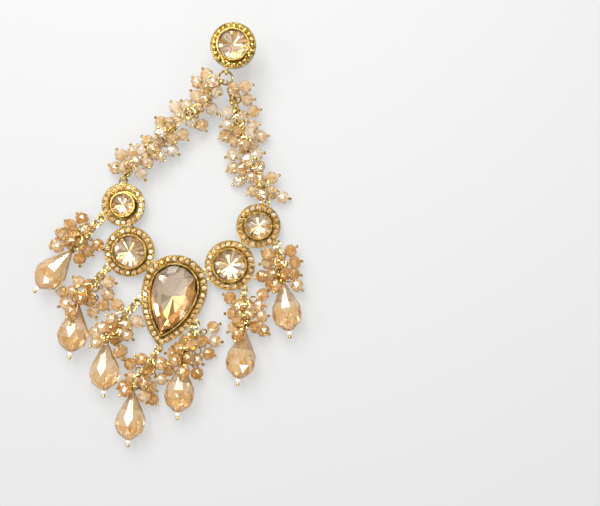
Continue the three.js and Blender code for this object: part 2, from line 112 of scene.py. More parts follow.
sky = bpy.data.worlds.new("sky")
sky.use_nodes = True
scene.world = sky
tree = sky.node_tree
tree.nodes.clear()
coordinates = add_node(tree, "ShaderNodeTexCoord")
patches = add_node(
    tree, "ShaderNodeTexNoise", {"Scale": 2.6, "Detail": 1.0},
    {"Vector": coordinates.outputs["Generated"]},
)
colour = ramp(tree, patches.outputs["Fac"], [
    (0.40, "#4E4A44"), (0.45, "#D8D6D2"), (0.50, "#FFFFFF"), (1.0, "#F4F8FF"),
])
facing = add_node(
    tree, "ShaderNodeVectorMath", {1: (-0.28, 0.42, 0.86)}, {0: coordinates.outputs["Generated"]},
    operation="DOT_PRODUCT",
)
rise = add_node(
    tree, "ShaderNodeMapRange", {"From Min": -0.4, "From Max": 1.0, "To Min": 0.14, "To Max": 0.9},
    {"Value": facing.outputs["Value"]},
)
background = add_node(
    tree, "ShaderNodeBackground", links={"Color": colour, "Strength": rise.outputs["Result"]},
)
output = add_node(tree, "ShaderNodeOutputWorld", links={"Surface": background.outputs["Background"]})

LIGHTS = [
    # place in mm, size in mm, watts, colour
    ((-80, 300, 340), 200, 1.45, "#FFFFFF"),
    ((-260, 80, 270), 65, 0.24, "#FFFFFF"),
    ((75, 235, 305), 75, 0.3, "#FFFFFF"),
    ((300, 60, 270), 55, 0.18, "#FFFBF4"),
    ((190, -220, 280), 45, 0.11, "#FFFFFF"),
    ((-110, -240, 280), 45, 0.11, "#F8FAFF"),
    ((90, 150, 410), 90, 0.42, "#FFFFFF"),
    ((-90, 110, 410), 90, 0.42, "#FFFFFF"),
]
for i, (place, size, watts, tint) in enumerate(LIGHTS):
    lamp = bpy.data.objects.new(f"lamp_{i + 1}", bpy.data.lights.new(f"lamp_{i + 1}", "AREA"))
    lamp.location = Vector(place) * MM
    lamp.rotation_euler = (Vector((0, 10 * MM, 0)) - lamp.location).to_track_quat("-Z", "Y").to_euler()
    lamp.data.size = size * MM
    lamp.data.energy = watts
    lamp.data.color = srgb(tint)[:3]
    scene.collection.objects.link(lamp)


# Stud
# A cast cup with a ring of small gold balls, a bezel that holds its crystal, an eye soldered to
# its foot, and on its back an ear post with a plain nut. Antique gold over brass.

GAP = 0.3
WIRE = 0.3
EYE_RING = 0.95
CUP_FLOOR = 0.6
GIRDLE = 0.3
CROWN = 0.9
LOW_CUP = {"bottom": 1.8, "top": 3.0, "girdle_at": 3.6}
SETTINGS = {
    "stud": {"x": 15.84, "y": 61.87, "z": 8.9, "girdle": 3.75, "rim": 5.85,
             "bottom": 0, "top": 1.5, "girdle_at": 2.3},
    "small_left": {"x": -13.62, "y": 21.72, "z": 0, "girdle": 2.85, "rim": 5.6, **LOW_CUP},
    "large_left": {"x": -12.0, "y": 9.42, "z": 0, "girdle": 4.15, "rim": 6.5, **LOW_CUP},
    "large_right": {"x": 14.4, "y": 5.81, "z": 0, "girdle": 4.15, "rim": 6.5, **LOW_CUP},
    "small_right": {"x": 21.92, "y": 16.15, "z": 0, "girdle": 3.25, "rim": 5.75, **LOW_CUP},
}


def heading(degrees):
    return Vector((math.cos(math.radians(degrees)), math.sin(math.radians(degrees)), 0))


def frame_at(place, along, roll=0.0):
    """Frame at a place with Z along a direction and X level, then turned about that direction."""
    z = along.normalized()
    x = Vector((0, 0, 1)).cross(z)
    x = x.normalized() if x.length > 1e-6 else Vector((1, 0, 0))
    x = Matrix.Rotation(math.radians(roll), 3, z) @ x
    made = Matrix((x, z.cross(x), z)).transposed().to_4x4()
    made.translation = place
    return made


def lathe(bm, profile, steps):
    """Surface turned about Z through pairs of radius and height."""
    verts = [bm.verts.new((radius, 0, height)) for radius, height in profile]
    edges = [bm.edges.new(pair) for pair in zip(verts, verts[1:])]
    bmesh.ops.spin(
        bm, geom=verts + edges, cent=(0, 0, 0), axis=(0, 0, 1), angle=2 * math.pi, steps=steps,
        use_merge=True,
    )
    bmesh.ops.remove_doubles(bm, verts=bm.verts, dist=1e-5)


def template(build, *arguments):
    """Mesh in millimetres that pieces are stamped from."""
    bm = bmesh.new()
    build(bm, *arguments)
    bmesh.ops.recalc_face_normals(bm, faces=bm.faces)
    made = bpy.data.meshes.new("template")
    bm.to_mesh(made)
    bm.free()
    return made


def stamp(bm, mesh, matrix):
    """Copy of a template, placed by a matrix."""
    copy = mesh.copy()
    copy.transform(matrix)
    bm.from_mesh(copy)
    bpy.data.meshes.remove(copy)


def torus(bm, radius, wire, steps=18, sides=7):
    """Wire ring in the plane of X and Z."""
    bmesh.ops.create_circle(
        bm, segments=sides, radius=wire,
        matrix=Matrix.Translation((radius, 0, 0)),
    )
    bmesh.ops.spin(
        bm, geom=list(bm.verts) + list(bm.edges), cent=(0, 0, 0), axis=(0, 1, 0),
        angle=2 * math.pi, steps=steps, use_merge=True,
    )


def ball(bm, radius, subdivisions=2):
    bmesh.ops.create_icosphere(bm, subdivisions=subdivisions, radius=radius)


def piece(name, bm, look, nodes, smooth=False):
    """Finished piece of the object in metres, standing for its CAD nodes."""
    bmesh.ops.scale(bm, vec=(MM, MM, MM), verts=bm.verts)
    made = bpy.data.objects.new(name, bpy.data.meshes.new(name))
    bm.to_mesh(made.data)
    bm.free()
    made.data.materials.append(look)
    made.data.polygons.foreach_set("use_smooth", [smooth] * len(made.data.polygons))
    if smooth:
        made.data.set_sharp_from_angle(angle=math.radians(38))
    scene.collection.objects.link(made)
    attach(made, "root")
    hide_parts(*nodes)
    return made


gold, tree, output = material("antique_gold")
coordinates = add_node(tree, "ShaderNodeTexCoord")
cloud = add_node(
    tree, "ShaderNodeTexNoise", {"Scale": 700.0, "Detail": 3.0},
    {"Vector": coordinates.outputs["Object"]},
)
tone = ramp(tree, cloud.outputs["Fac"], [(0.3, "#B69444"), (0.5, "#DEC276"), (0.7, "#F6E6B2")])
# Hollows mix towards a dark olive: partly the antique finish's patina, partly painted shade in the recesses
hollow = add_node(tree, "ShaderNodeAttribute", attribute_name="patina_and_shade", attribute_type="GEOMETRY")
aged_and_shaded = add_node(
    tree, "ShaderNodeMixRGB", {"Color2": srgb("#80602A")}, {"Fac": hollow.outputs["Fac"], "Color1": tone},
)
rough = add_node(
    tree, "ShaderNodeMapRange", {"To Min": 0.1, "To Max": 0.26}, {"Value": cloud.outputs["Fac"]},
)
shader = add_node(
    tree, "ShaderNodeBsdfPrincipled", {"Metallic": 1.0},
    {"Base Color": aged_and_shaded.outputs["Color"], "Roughness": rough.outputs["Result"]},
)
tree.links.new(shader.outputs["BSDF"], output.inputs["Surface"])


def cup_profile(girdle, rim, bottom, top, girdle_at):
    """Section of a cup, from the middle of its back round its rim and bezel to its floor."""
    wall = girdle + 0.45
    lip = girdle_at + GIRDLE + 0.55
    foot = [(0, 0), (wall, 0), (wall, bottom)] if bottom else [(0, 0)]
    return foot + [
        (rim - 0.15, bottom), (rim, bottom + 0.2), (rim, top - 0.2), (rim - 0.1, top - 0.08),
        (rim - 0.3, top - 0.08), (rim - 0.36, top - 0.4), (rim - 1.65, top - 0.4),
        (rim - 1.7, top - 1.0), (wall + 0.05, top - 1.0), (wall, top - 0.8), (wall - 0.05, lip - 0.15),
        (wall - 0.15, lip), (girdle + 0.16, lip), (girdle, lip - 0.15),
        (girdle - 0.06, girdle_at + 0.4), (girdle + 0.2, girdle_at + 0.3), (girdle + 0.2, 1.0),
        (0, CUP_FLOOR),
    ]


def darken(bm, top, most):
    """Darker colour in the hollows of a cup, below the tops of its balls and grains: partly the antique
    gold's own patina, partly painted shade.
    """
    patina_and_shade = bm.verts.layers.float.new("patina_and_shade")
    for v in bm.verts:
        v[patina_and_shade] = min(max((top + 0.05 - v.co.z) / 0.5, 0), most)


def facet_stone(bm, radius, sides, table, crown, girdle, depth, culet=0.0):
    """Cut stone about its girdle: the crown's facets run in a star from the girdle to the table."""
    profile = [(0, -depth)] + ([(culet, -depth)] if culet else []) + [
        (radius, 0), (radius, girdle), (radius * table, girdle + crown), (0, girdle + crown),
    ]
    lathe(bm, profile, sides)
    turned = [v for v in bm.verts if abs(v.co.z - girdle - crown) < 1e-4]
    bmesh.ops.rotate(bm, verts=turned, cent=(0, 0, 0), matrix=Matrix.Rotation(math.pi / sides, 3, "Z"))
    slopes = [f for f in bm.faces if 0 < f.calc_center_median().z - girdle < crown * 0.9]
    bmesh.ops.triangulate(bm, faces=slopes)


# Foil-backed crystal: clear champagne glass over a pavilion whose facets are mirrored
crystal, tree, output = material("crystal")
shader = add_node(tree, "ShaderNodeBsdfPrincipled", {
    "Base Color": srgb("#FBEEDB"), "Roughness": 0.0, "IOR": 1.35, "Transmission Weight": 1.0,
})
tree.links.new(shader.outputs["BSDF"], output.inputs["Surface"])

foil, tree, output = material("crystal_foil")
# Facet by facet the foil takes a chance colour from dark tan to white: painted reflections, glints and shade
# on its mirrored facets
tint = add_node(tree, "ShaderNodeAttribute", attribute_name="facet", attribute_type="GEOMETRY")
tone = ramp(tree, tint.outputs["Fac"], [
    (0.1, "#8A7462"), (0.25, "#DCC094"), (0.4, "#FFF4DC"), (0.52, "#DCD0D2"),
    (0.66, "#E0B068"), (0.8, "#FFFFFF"), (0.92, "#E8CE9C"),
])
shader = add_node(
    tree, "ShaderNodeBsdfPrincipled", {"Metallic": 0.75, "Roughness": 0.12}, {"Base Color": tone},
)
tree.links.new(shader.outputs["BSDF"], output.inputs["Surface"])


def tint_facets(made, seed, faces=1, low=0.0, high=1.0):
    """A chance value on each facet, which its colour follows, near to its own stone's value.

    Blender may list a mesh's faces in another order on each run, so single facets can differ.
    """
    draw = random.Random(seed)
    values = made.data.attributes.new("facet", "FLOAT", "FACE")
    for k, value in enumerate(values.data):
        if k % faces == 0:
            whole = draw.random()
        value.value = low + (high - low) * (0.35 * whole + 0.65 * draw.random())


def painted_light_sides(made):
    """Painted light on the pear's foil: amber facets towards its lower right, a painted glow where light from
    the upper left passes through, and pale, lit-looking ones over the rest of it.
    """
    faces = made.data.polygons
    middle = sum((face.center for face in faces), Vector()) / len(faces)
    reach = max((face.center - middle).length for face in faces)
    for face, value in zip(faces, made.data.attributes["facet"].data):
        way = (face.center - middle) / reach
        lower_right = 0.6 * way.x - 0.8 * way.y
        if lower_right > 0.1:
            value.value = 0.55 + 0.15 * value.value
        else:
            value.value = 0.3 + 0.25 * value.value


def main_stone(name, place, radius, sides, depth, culet, nodes, reshape=None):
    """Crystal and, inside its foot, its foil: a fan of wedges, or two rows of facets if reshaped."""
    bm = bmesh.new()
    facet_stone(bm, radius, sides, 0.66, CROWN, GIRDLE, depth, culet)
    if reshape:
        reshape(bm)
    bmesh.ops.recalc_face_normals(bm, faces=bm.faces)
    bmesh.ops.transform(bm, matrix=place, verts=bm.verts)
    piece(f"{name}_crystal", bm, crystal, nodes)
    bm = bmesh.new()
    edge = (radius * 0.96, 0.05)
    if reshape:
        facets = sides - 4
        lathe(bm, [(0, -radius * 0.26), (radius * 0.55, -radius * 0.12), edge], facets)
        middle = [v for v in bm.verts if abs(v.co.z + radius * 0.12) < 1e-4]
        half = Matrix.Rotation(math.pi / facets, 3, "Z")
        bmesh.ops.rotate(bm, verts=middle, cent=(0, 0, 0), matrix=half)
        reshape(bm)
    else:
        lathe(bm, [(0, -radius * 0.24), edge], 2 * sides)
        for v in bm.verts:
            k = round(math.atan2(v.co.y, v.co.x) * sides / math.pi)
            v.co.z += radius * 0.012 * (-1) ** k
    bmesh.ops.triangulate(bm, faces=bm.faces)
    bmesh.ops.recalc_face_normals(bm, faces=bm.faces)
    bmesh.ops.transform(bm, matrix=place, verts=bm.verts)
    made = piece(f"{name}_foil", bm, foil, nodes)
    tint_facets(made, name, low=0.32 if reshape else 0.05)
    if reshape:
        painted_light_sides(made)


STUD_BALLS = 21
STUD_BALL_RADIUS = 0.7
STUD_BALL_CIRCLE = 4.92
STUD_GRAINS = 60
STUD_GRAIN_CIRCLE = 5.66
GRAIN_RADIUS = 0.27
STUD_EYE_BEARING = -104
JUMP_RING = 1.75
JUMP_RING_DROP = 0.55
stud = SETTINGS["stud"]
stud_place = Matrix.Translation((stud["x"], stud["y"], stud["z"]))
stud_out = heading(STUD_EYE_BEARING)
stud_middle = Vector((stud["x"], stud["y"], stud["z"] + stud["top"] / 2))
stud_eye = stud_middle + stud_out * (stud["rim"] + EYE_RING - WIRE / 2)

eye_template = template(torus, EYE_RING, WIRE, 20, 8)
grain_template = template(ball, GRAIN_RADIUS, 1)
bm = bmesh.new()
lathe(bm, cup_profile(stud["girdle"], stud["rim"], stud["bottom"], stud["top"], stud["girdle_at"]), 56)
ball_template = template(ball, STUD_BALL_RADIUS, 2)
for k in range(STUD_BALLS):
    spot = heading(360 * k / STUD_BALLS) * STUD_BALL_CIRCLE + Vector((0, 0, stud["top"]))
    stamp(bm, ball_template, Matrix.Translation(spot))
for k in range(STUD_GRAINS):
    spot = heading(360 * k / STUD_GRAINS) * STUD_GRAIN_CIRCLE + Vector((0, 0, stud["top"] - 0.05))
    stamp(bm, grain_template, Matrix.Translation(spot))
darken(bm, stud["top"], 0.35)
bmesh.ops.transform(bm, matrix=stud_place, verts=bm.verts)
stamp(bm, eye_template, frame_at(stud_eye, stud_out, 90))
post_template = template(lathe, [(0, 0), (0.35, 0), (0.45, 0.25), (0.45, 9.0), (0, 9.0)], 16)
stamp(bm, post_template, Matrix.Translation((stud["x"], stud["y"], 0)))
bmesh.ops.recalc_face_normals(bm, faces=bm.faces)
piece("stud_cup", bm, gold, ["stud_setting"], smooth=True)

main_stone(
    "stud", stud_place @ Matrix.Translation((0, 0, stud["girdle_at"])), stud["girdle"], 16, 1.4, 0.4,
    ["stud_stone"],
)

bm = bmesh.new()
lathe(bm, [
    (0.75, 2.4), (2.4, 2.4), (2.6, 2.6), (2.6, 3.0), (2.2, 3.4), (1.5, 4.2), (1.2, 5.2),
    (1.1, 5.6), (0.75, 5.6), (0.75, 2.4),
], 32)
bmesh.ops.transform(bm, matrix=Matrix.Translation((stud["x"], stud["y"], 0)), verts=bm.verts)
bmesh.ops.recalc_face_normals(bm, faces=bm.faces)
piece("ear_nut_turned", bm, gold, ["ear_nut"], smooth=True)


# Top jump ring
# One round ring of gold wire between the stud's eye and the first links of the two strands.


def linked(first, second):
    """Distance between the centres of two rings that hang in one another."""
    return first + second - 2 * WIRE - GAP


def one_ring(name, place, along, roll, radius):
    bm = bmesh.new()
    torus(bm, radius, WIRE, 28, 9)
    bmesh.ops.recalc_face_normals(bm, faces=bm.faces)
    bmesh.ops.transform(bm, matrix=frame_at(place, along, roll), verts=bm.verts)
    piece(f"{name}_wire", bm, gold, [name], smooth=True)


ring_way = Vector((stud_out.x, stud_out.y, -JUMP_RING_DROP)).normalized()
ring_place = stud_eye + ring_way * linked(EYE_RING, JUMP_RING)
one_ring("top_jump_ring", ring_place, ring_way, 0, JUMP_RING)


# Bib settings
# Four round cups and a pear, cast in antique gold. Each has a raised bezel round its crystal and a
# halo band of small stones held by grains, and eyes and back loops of wire are soldered on.

PEAR_WIDTH = 16.9
PEAR_LENGTH = 24.4
PEAR_TILT = -15.5
PEAR_HALO = 2.45
PEAR_STEPS = 48
PEAR_ROUND_STEPS = 18
PEAR_ROUND = PEAR_WIDTH / 2
PEAR_TIP = PEAR_LENGTH - PEAR_ROUND
PEAR_FLANK = (PEAR_TIP ** 2 + PEAR_ROUND ** 2) / (2 * PEAR_ROUND)
BACK_LOOP_HEIGHT = 1.2
JOINING_RING = 1.4
BACK_LOOP_RING = 0.85
NEIGHBOURS = [
    ("small_left", "large_left"), ("large_left", "pear"), ("pear", "large_right"),
    ("large_right", "small_right"),
]
HANGINGS = [
    # eye: setting and bearing, or flank and degrees; drop: x, y and bearing of its lower end
    {"eye": ("small_left", 210), "drop": (-35.3, 0.4, -42.6), "start": 1.1},
    {"eye": ("large_left", 216), "drop": (-27.2, -16.5, -8.8), "start": 1.8},
    {"eye": (-1, 17), "drop": (-18.45, -26.56, -2.7), "start": 1.4},
    {"eye": (0, 90), "drop": (-11.96, -39.5, -5.4), "start": -0.7},
    {"eye": (1, 23), "drop": (0.92, -32.3, -5.4), "start": 0.6},
    {"eye": ("large_right", -61), "drop": (16.8, -23.5, -7.5), "start": 0.4},
    {"eye": ("small_right", -45), "drop": (30.0, -11.06, 7.2), "start": 0.0},
]
STRAND_ENDS = {"left_strand": ("small_left", 91), "right_strand": ("small_right", 74)}


def pear_place(k, inset):
    """Place on the pear's outline, k steps round from the right of its round end, inside its rim."""
    flank = PEAR_FLANK - inset
    offset = PEAR_FLANK - PEAR_ROUND
    side_steps = (PEAR_STEPS - PEAR_ROUND_STEPS) / 2
    k %= PEAR_STEPS
    if k <= PEAR_ROUND_STEPS:
        return heading(180 * k / PEAR_ROUND_STEPS) * (PEAR_ROUND - inset)
    share = (k - PEAR_ROUND_STEPS) / side_steps
    side = -1 if share <= 1 else 1
    angle = math.acos(offset / flank) * (share if share <= 1 else 2 - share)
    return Vector((side * (flank * math.cos(angle) - offset), -flank * math.sin(angle), 0))


def to_pear(bm):
    """Turned shape whose radii are counted from the pear's rim, drawn out to the pear's outline."""
    for v in bm.verts:
        radius = math.hypot(v.co.x, v.co.y)
        if radius < 1e-4:
            v.co = Vector((0, -2.5, v.co.z))
            continue
        k = math.atan2(v.co.y, v.co.x) / (2 * math.pi) * PEAR_STEPS
        v.co = pear_place(k, PEAR_ROUND - radius) + Vector((0, 0, v.co.z))


def eye_at(owner, bearing):
    """Eye's centre on a rim, with the way out from the rim there."""
    reach = EYE_RING - WIRE / 2
    height = (LOW_CUP["bottom"] + LOW_CUP["top"]) / 2
    if owner in SETTINGS:
        one = SETTINGS[owner]
        out = heading(bearing)
        return Vector((one["x"], one["y"], height)) + out * (one["rim"] + reach), out
    turn = math.radians(bearing)
    out = Vector((owner * math.cos(turn), -math.sin(turn), 0))
    across = PEAR_FLANK * math.cos(turn) - PEAR_FLANK + PEAR_ROUND
    place = Vector((owner * across, -PEAR_FLANK * math.sin(turn), 0))
    if owner == 0:
        place = Vector((0, -PEAR_TIP, 0))
    place += out * reach
    place.z = height
    tilt = Matrix.Rotation(math.radians(PEAR_TILT), 3, "Z")
    return tilt @ place, tilt @ out


def back_joints():
    """Joining rings, each with its way and the two back loops that it passes through."""
    def centre(name):
        return SETTINGS.get(name, {"x": 0, "y": 0, "rim": PEAR_ROUND})

    made = []
    for first, second in NEIGHBOURS:
        a, b = centre(first), centre(second)
        start = Vector((a["x"], a["y"], BACK_LOOP_HEIGHT))
        way = Vector((b["x"], b["y"], BACK_LOOP_HEIGHT)) - start
        between = (way.length + a["rim"] - b["rim"]) / 2
        way.normalize()
        place = start + way * between
        made.append((place, way, {first: place - way * JOINING_RING, second: place + way * JOINING_RING}))
    return made


def solder(bm, name):
    """Eyes for what hangs from a setting, and loops on its back."""
    for one in HANGINGS:
        owner, bearing = one["eye"]
        if owner == name or (name == "pear" and owner in (-1, 0, 1)):
            place, out = eye_at(owner, bearing)
            stamp(bm, eye_template, frame_at(place, out))
    for owner, bearing in STRAND_ENDS.values():
        if owner == name:
            place, out = eye_at(owner, bearing)
            stamp(bm, eye_template, frame_at(place, out))
    for _, way, loops in joints:
        if name in loops:
            bearing = math.degrees(math.atan2(way.y, way.x))
            stamp(bm, loop_template, frame_at(loops[name], Vector((0, 0, -1)), -bearing))


joints = back_joints()
loop_template = template(torus, BACK_LOOP_RING, WIRE, 18, 8)
HALO_STONES = {"small_left": 20, "large_left": 23, "large_right": 23, "small_right": 20, "pear": 36}
HALO_STONE_RADIUS = 0.64
HALO_INSET = 0.88
PRONG_SIDES = (-0.5, 0.48)
GRAIN_ROWS = [
    # inset from the rim, lift above the band
    (0.07, 0.0), (1.68, -0.25),
]
PEAR_GRAINS = 92
GRAIN_STEP = 0.6

# Halo stones: pale champagne brilliants under a clear coat, with painted glints and shade facet by facet,
# from dark gold to white
halo, tree, output = material("halo_crystal")
tint = add_node(tree, "ShaderNodeAttribute", attribute_name="facet", attribute_type="GEOMETRY")
tone = ramp(tree, tint.outputs["Fac"], [
    (0.1, "#96703A"), (0.4, "#DDB072"), (0.65, "#F7DDB0"), (0.9, "#FFFFFF"),
])
shader = add_node(tree, "ShaderNodeBsdfPrincipled", {
    "Metallic": 0.55, "Roughness": 0.1, "Coat Weight": 1.0, "Coat Roughness": 0.02,
}, {"Base Color": tone})
tree.links.new(shader.outputs["BSDF"], output.inputs["Surface"])


def small_stone(bm, radius):
    facet_stone(bm, radius, 8, 0.5, 0.3, 0.08, 0.35)


def band_places(name):
    """Places along the middle of a halo band, with the way out, for stones and the grains between."""
    count = HALO_STONES[name]
    if name == "pear":
        tilt = Matrix.Rotation(math.radians(PEAR_TILT), 3, "Z")
        for k in range(2 * count):
            step = PEAR_STEPS * k / (2 * count)
            inner, outer = pear_place(step, HALO_INSET), pear_place(step, 0)
            yield k, tilt @ inner, tilt @ (outer - inner).normalized()
    else:
        one = SETTINGS[name]
        for k in range(2 * count):
            way = heading(180 * k / count)
            yield k, Vector((one["x"], one["y"], 0)) + way * (one["rim"] - HALO_INSET), way


PEAR_CUP = {
    "x": 0, "y": 0, "z": 0, "girdle": PEAR_ROUND - PEAR_HALO, "rim": PEAR_ROUND, **LOW_CUP,
}
stone_template = template(small_stone, HALO_STONE_RADIUS)
for name in HALO_STONES:
    one = SETTINGS.get(name, PEAR_CUP)
    turn = Matrix.Rotation(math.radians(PEAR_TILT), 4, "Z") if name == "pear" else Matrix.Identity(4)
    place = Matrix.Translation((one["x"], one["y"], one["z"])) @ turn
    bm = bmesh.new()
    section = cup_profile(one["girdle"], one["rim"], one["bottom"], one["top"], one["girdle_at"])
    lathe(bm, section, PEAR_STEPS)
    if name == "pear":
        to_pear(bm)
    bmesh.ops.transform(bm, matrix=place, verts=bm.verts)
    band = list(band_places(name))
    for k, where, way in band:
        if k % 2:
            for side in PRONG_SIDES:
                spot = where + way * side + Vector((0, 0, one["top"] - 0.02))
                stamp(bm, grain_template, Matrix.Translation(spot))
    for inset, lift in GRAIN_ROWS:
        radius = one["rim"] - inset
        grains = PEAR_GRAINS if name == "pear" else round(2 * math.pi * radius / GRAIN_STEP)
        for k in range(grains):
            if name == "pear":
                spot = turn @ pear_place(PEAR_STEPS * k / grains, inset)
            else:
                spot = Vector((one["x"], one["y"], 0)) + heading(360 * k / grains) * radius
            stamp(bm, grain_template, Matrix.Translation(spot + Vector((0, 0, one["top"] + lift))))
    darken(bm, one["top"], 0.75)
    solder(bm, name)
    bmesh.ops.recalc_face_normals(bm, faces=bm.faces)
    piece(f"{name}_cup", bm, gold, [f"{name}_setting"], smooth=True)

    bm = bmesh.new()
    draw = random.Random(name)
    for k, where, way in band:
        if k % 2 == 0:
            spin = Matrix.Rotation(draw.uniform(0, math.pi), 4, "Z")
            tip = Matrix.Rotation(draw.uniform(-0.12, 0.12), 4, "X")
            seat = Matrix.Translation(where + Vector((0, 0, one["top"] - 0.05)))
            stamp(bm, stone_template, seat @ tip @ spin)
    bmesh.ops.recalc_face_normals(bm, faces=bm.faces)
    made = piece(f"{name}_halo", bm, halo, [f"{name}_setting"])
    tint_facets(made, name, len(stone_template.polygons))

    depth = one["girdle_at"] - CUP_FLOOR - GAP
    main_stone(
        name, place @ Matrix.Translation((0, 0, one["girdle_at"])), one["girdle"],
        16, depth, 0.0, [f"{name}_stone"],
        reshape=to_pear if name == "pear" else None,
    )

for i, (place, way, _) in enumerate(joints):
    one_ring(f"joining_ring_{i + 1}", place, way, 0, JOINING_RING)


# Strands and clusters
# Gold cable chain with faceted glass rondelles on headpins. Curled wire ties each pin to the chain
# and a ball ends it, and spare rings lie over the links. The beads were charted, then pushed apart.

HANG_RING = 1.35
LINK_RING = 1.0
LOOP_RING = 0.95
STRAND_SPREAD = 36
RING_ROLL = 62
BEAD_RADIUS = 1.8
BEAD_LENGTH = 3.2
CHAIN_RADIUS = 0.32
STRAND_CLIMB = 2.4
SIDE_SLOPE = 0.85
DROP_LENGTH = 12
DROP_RADIUS = 4.05
DROP_AXIS_HEIGHT = 4.15
DROP_BLOCKS = [(0, 0.15), (0.1, 0.3), (0.2, 0.42), (0.3, 0.55), (0.4, 0.68), (0.55, 0.85), (0.7, 0.92)]
ROUTES = {
    "left_strand": [(7.4, 48.2, 4.6), (1.2, 43.8, 3.6), (-5.2, 36.2, 3.6), (-11.6, 31.4, 3.4)],
    "right_strand": [(15.6, 48.2, 5.0), (17.9, 41.0, 3.8), (19.1, 34.3, 3.6), (22.2, 28.4, 3.4)],
}
STRAND_STARTS = {"left_strand": -1.6, "right_strand": -1.0}
# Beads listed one by one: millimetres along the chain, and off its line to the right of the way down
CHARTS = {
    "left_strand": [
        (2.5, 4.2), (3.4, -1.2), (5.2, 4.2), (7.0, -0.6), (8.3, 3.0), (11.7, 2.0), (11.8, -4.2),
        (14.5, 3.2), (18.3, -3.0), (19.4, 3.4), (23.5, -3.4), (25.5, 2.8), (26.0, -2.2),
        (29.0, -1.8), (31.5, 3.2), (32.4, -2.8), (33.8, 3.8), (35.6, 3.6),
    ],
    "right_strand": [
        (1.6, -3.8), (4.6, -3.6), (7.4, 2.4), (9.8, -1.2), (12.6, -2.8), (12.7, 4.6), (15.0, -4.4),
        (15.6, 3.0), (17.9, 3.6), (19.6, -2.6), (24.2, 5.0), (25.6, 2.0), (27.2, -3.2),
        (28.4, 2.4), (30.2, -2.4), (32.4, -4.6),
    ],
    "cluster_1": [(3.0, 4.0), (6.2, 5.2), (12.4, 4.6), (7.4, -0.9), (5.4, -3.8), (11.2, -2.4)],
    "cluster_2": [(5.8, 3.2), (10.8, 5.0), (1.2, -2.8), (3.2, -4.6), (7.4, -2.2), (9.6, -4.4)],
    "cluster_3": [(3.2, 4.1), (3.2, -3.2), (6.7, 2.1), (7.6, -3.4), (12.6, 4.0), (12.0, -4.8)],
    "cluster_4": [(5.4, 2.4), (8.0, 4.2), (7.8, -4.6), (10.4, -4.0), (13.8, 3.6), (12.8, -5.2)],
    "cluster_5": [(-0.6, -4.9), (1.9, -6.0), (6.2, -5.5), (8.6, 3.2), (8.8, -3.6), (11.4, -4.2)],
    "cluster_6": [(6.0, 3.1), (9.4, 3.0), (1.2, -5.0), (7.4, -4.4), (10.6, -4.6)],
    "cluster_7": [(4.6, 3.2), (5.9, -3.9), (7.9, 5.2), (10.6, 3.2), (12.0, -3.4)],
}
# Beads between those, which lie closer over the chain
INNER_CHARTS = {
    "left_strand": [
        (1.2, 0.8), (4.6, 1.6), (7.8, -2.6), (13.5, -2.2), (15.9, -0.2), (17.7, 1.2), (20.6, -1.4),
        (22.0, 0.4), (26.6, 0.6), (28.6, 2.2), (31.4, 0.6), (34.4, 1.0), (10.0, -1.0), (24.0, 1.0),
    ],
    "right_strand": [
        (1.2, -0.8), (10.4, 2.8), (13.2, 1.2), (17.2, -3.4), (17.4, 0.4), (20.4, 1.0),
        (21.2, 3.8), (23.6, -1.0), (8.8, -4.2), (14.4, -0.8), (22.6, 2.4),
        (26.2, 0.2), (30.4, 0.6), (19.2, 1.8),
    ],
    "cluster_1": [(6.8, 2.6), (9.8, 5.2), (8.8, -3.2), (9.4, 1.2), (12.0, 1.4), (4.4, 1.2)],
    "cluster_2": [(9.3, 1.8), (6.4, -4.8), (4.4, 0.4), (8.6, -0.4), (12.0, -1.2), (11.6, 2.2)],
    "cluster_3": [(5.5, -1.7), (9.8, 2.2), (10.0, -2.2), (12.6, -3.0), (8.4, 0.2), (12.8, 0.6)],
    "cluster_4": [(3.8, -2.2), (7.0, -1.4), (10.4, 1.2), (12.7, -2.0), (5.0, -4.4), (13.6, 0.6), (9.0, -1.2)],
    "cluster_5": [(3.3, 3.0), (3.6, -2.8), (6.6, 1.2), (5.4, -1.0), (9.6, 0.6), (8.0, -2.0), (11.8, -0.6)],
    "cluster_6": [(1.6, 3.4), (3.8, -4.2), (6.2, -1.0), (9.6, -1.6), (3.6, 1.4), (8.2, 1.0), (11.4, 0.8)],
    "cluster_7": [(2.6, -3.4), (7.8, 1.8), (9.0, -3.0), (5.4, 0.4), (8.8, -0.6), (10.6, 0.8), (2.4, 1.8)],
}


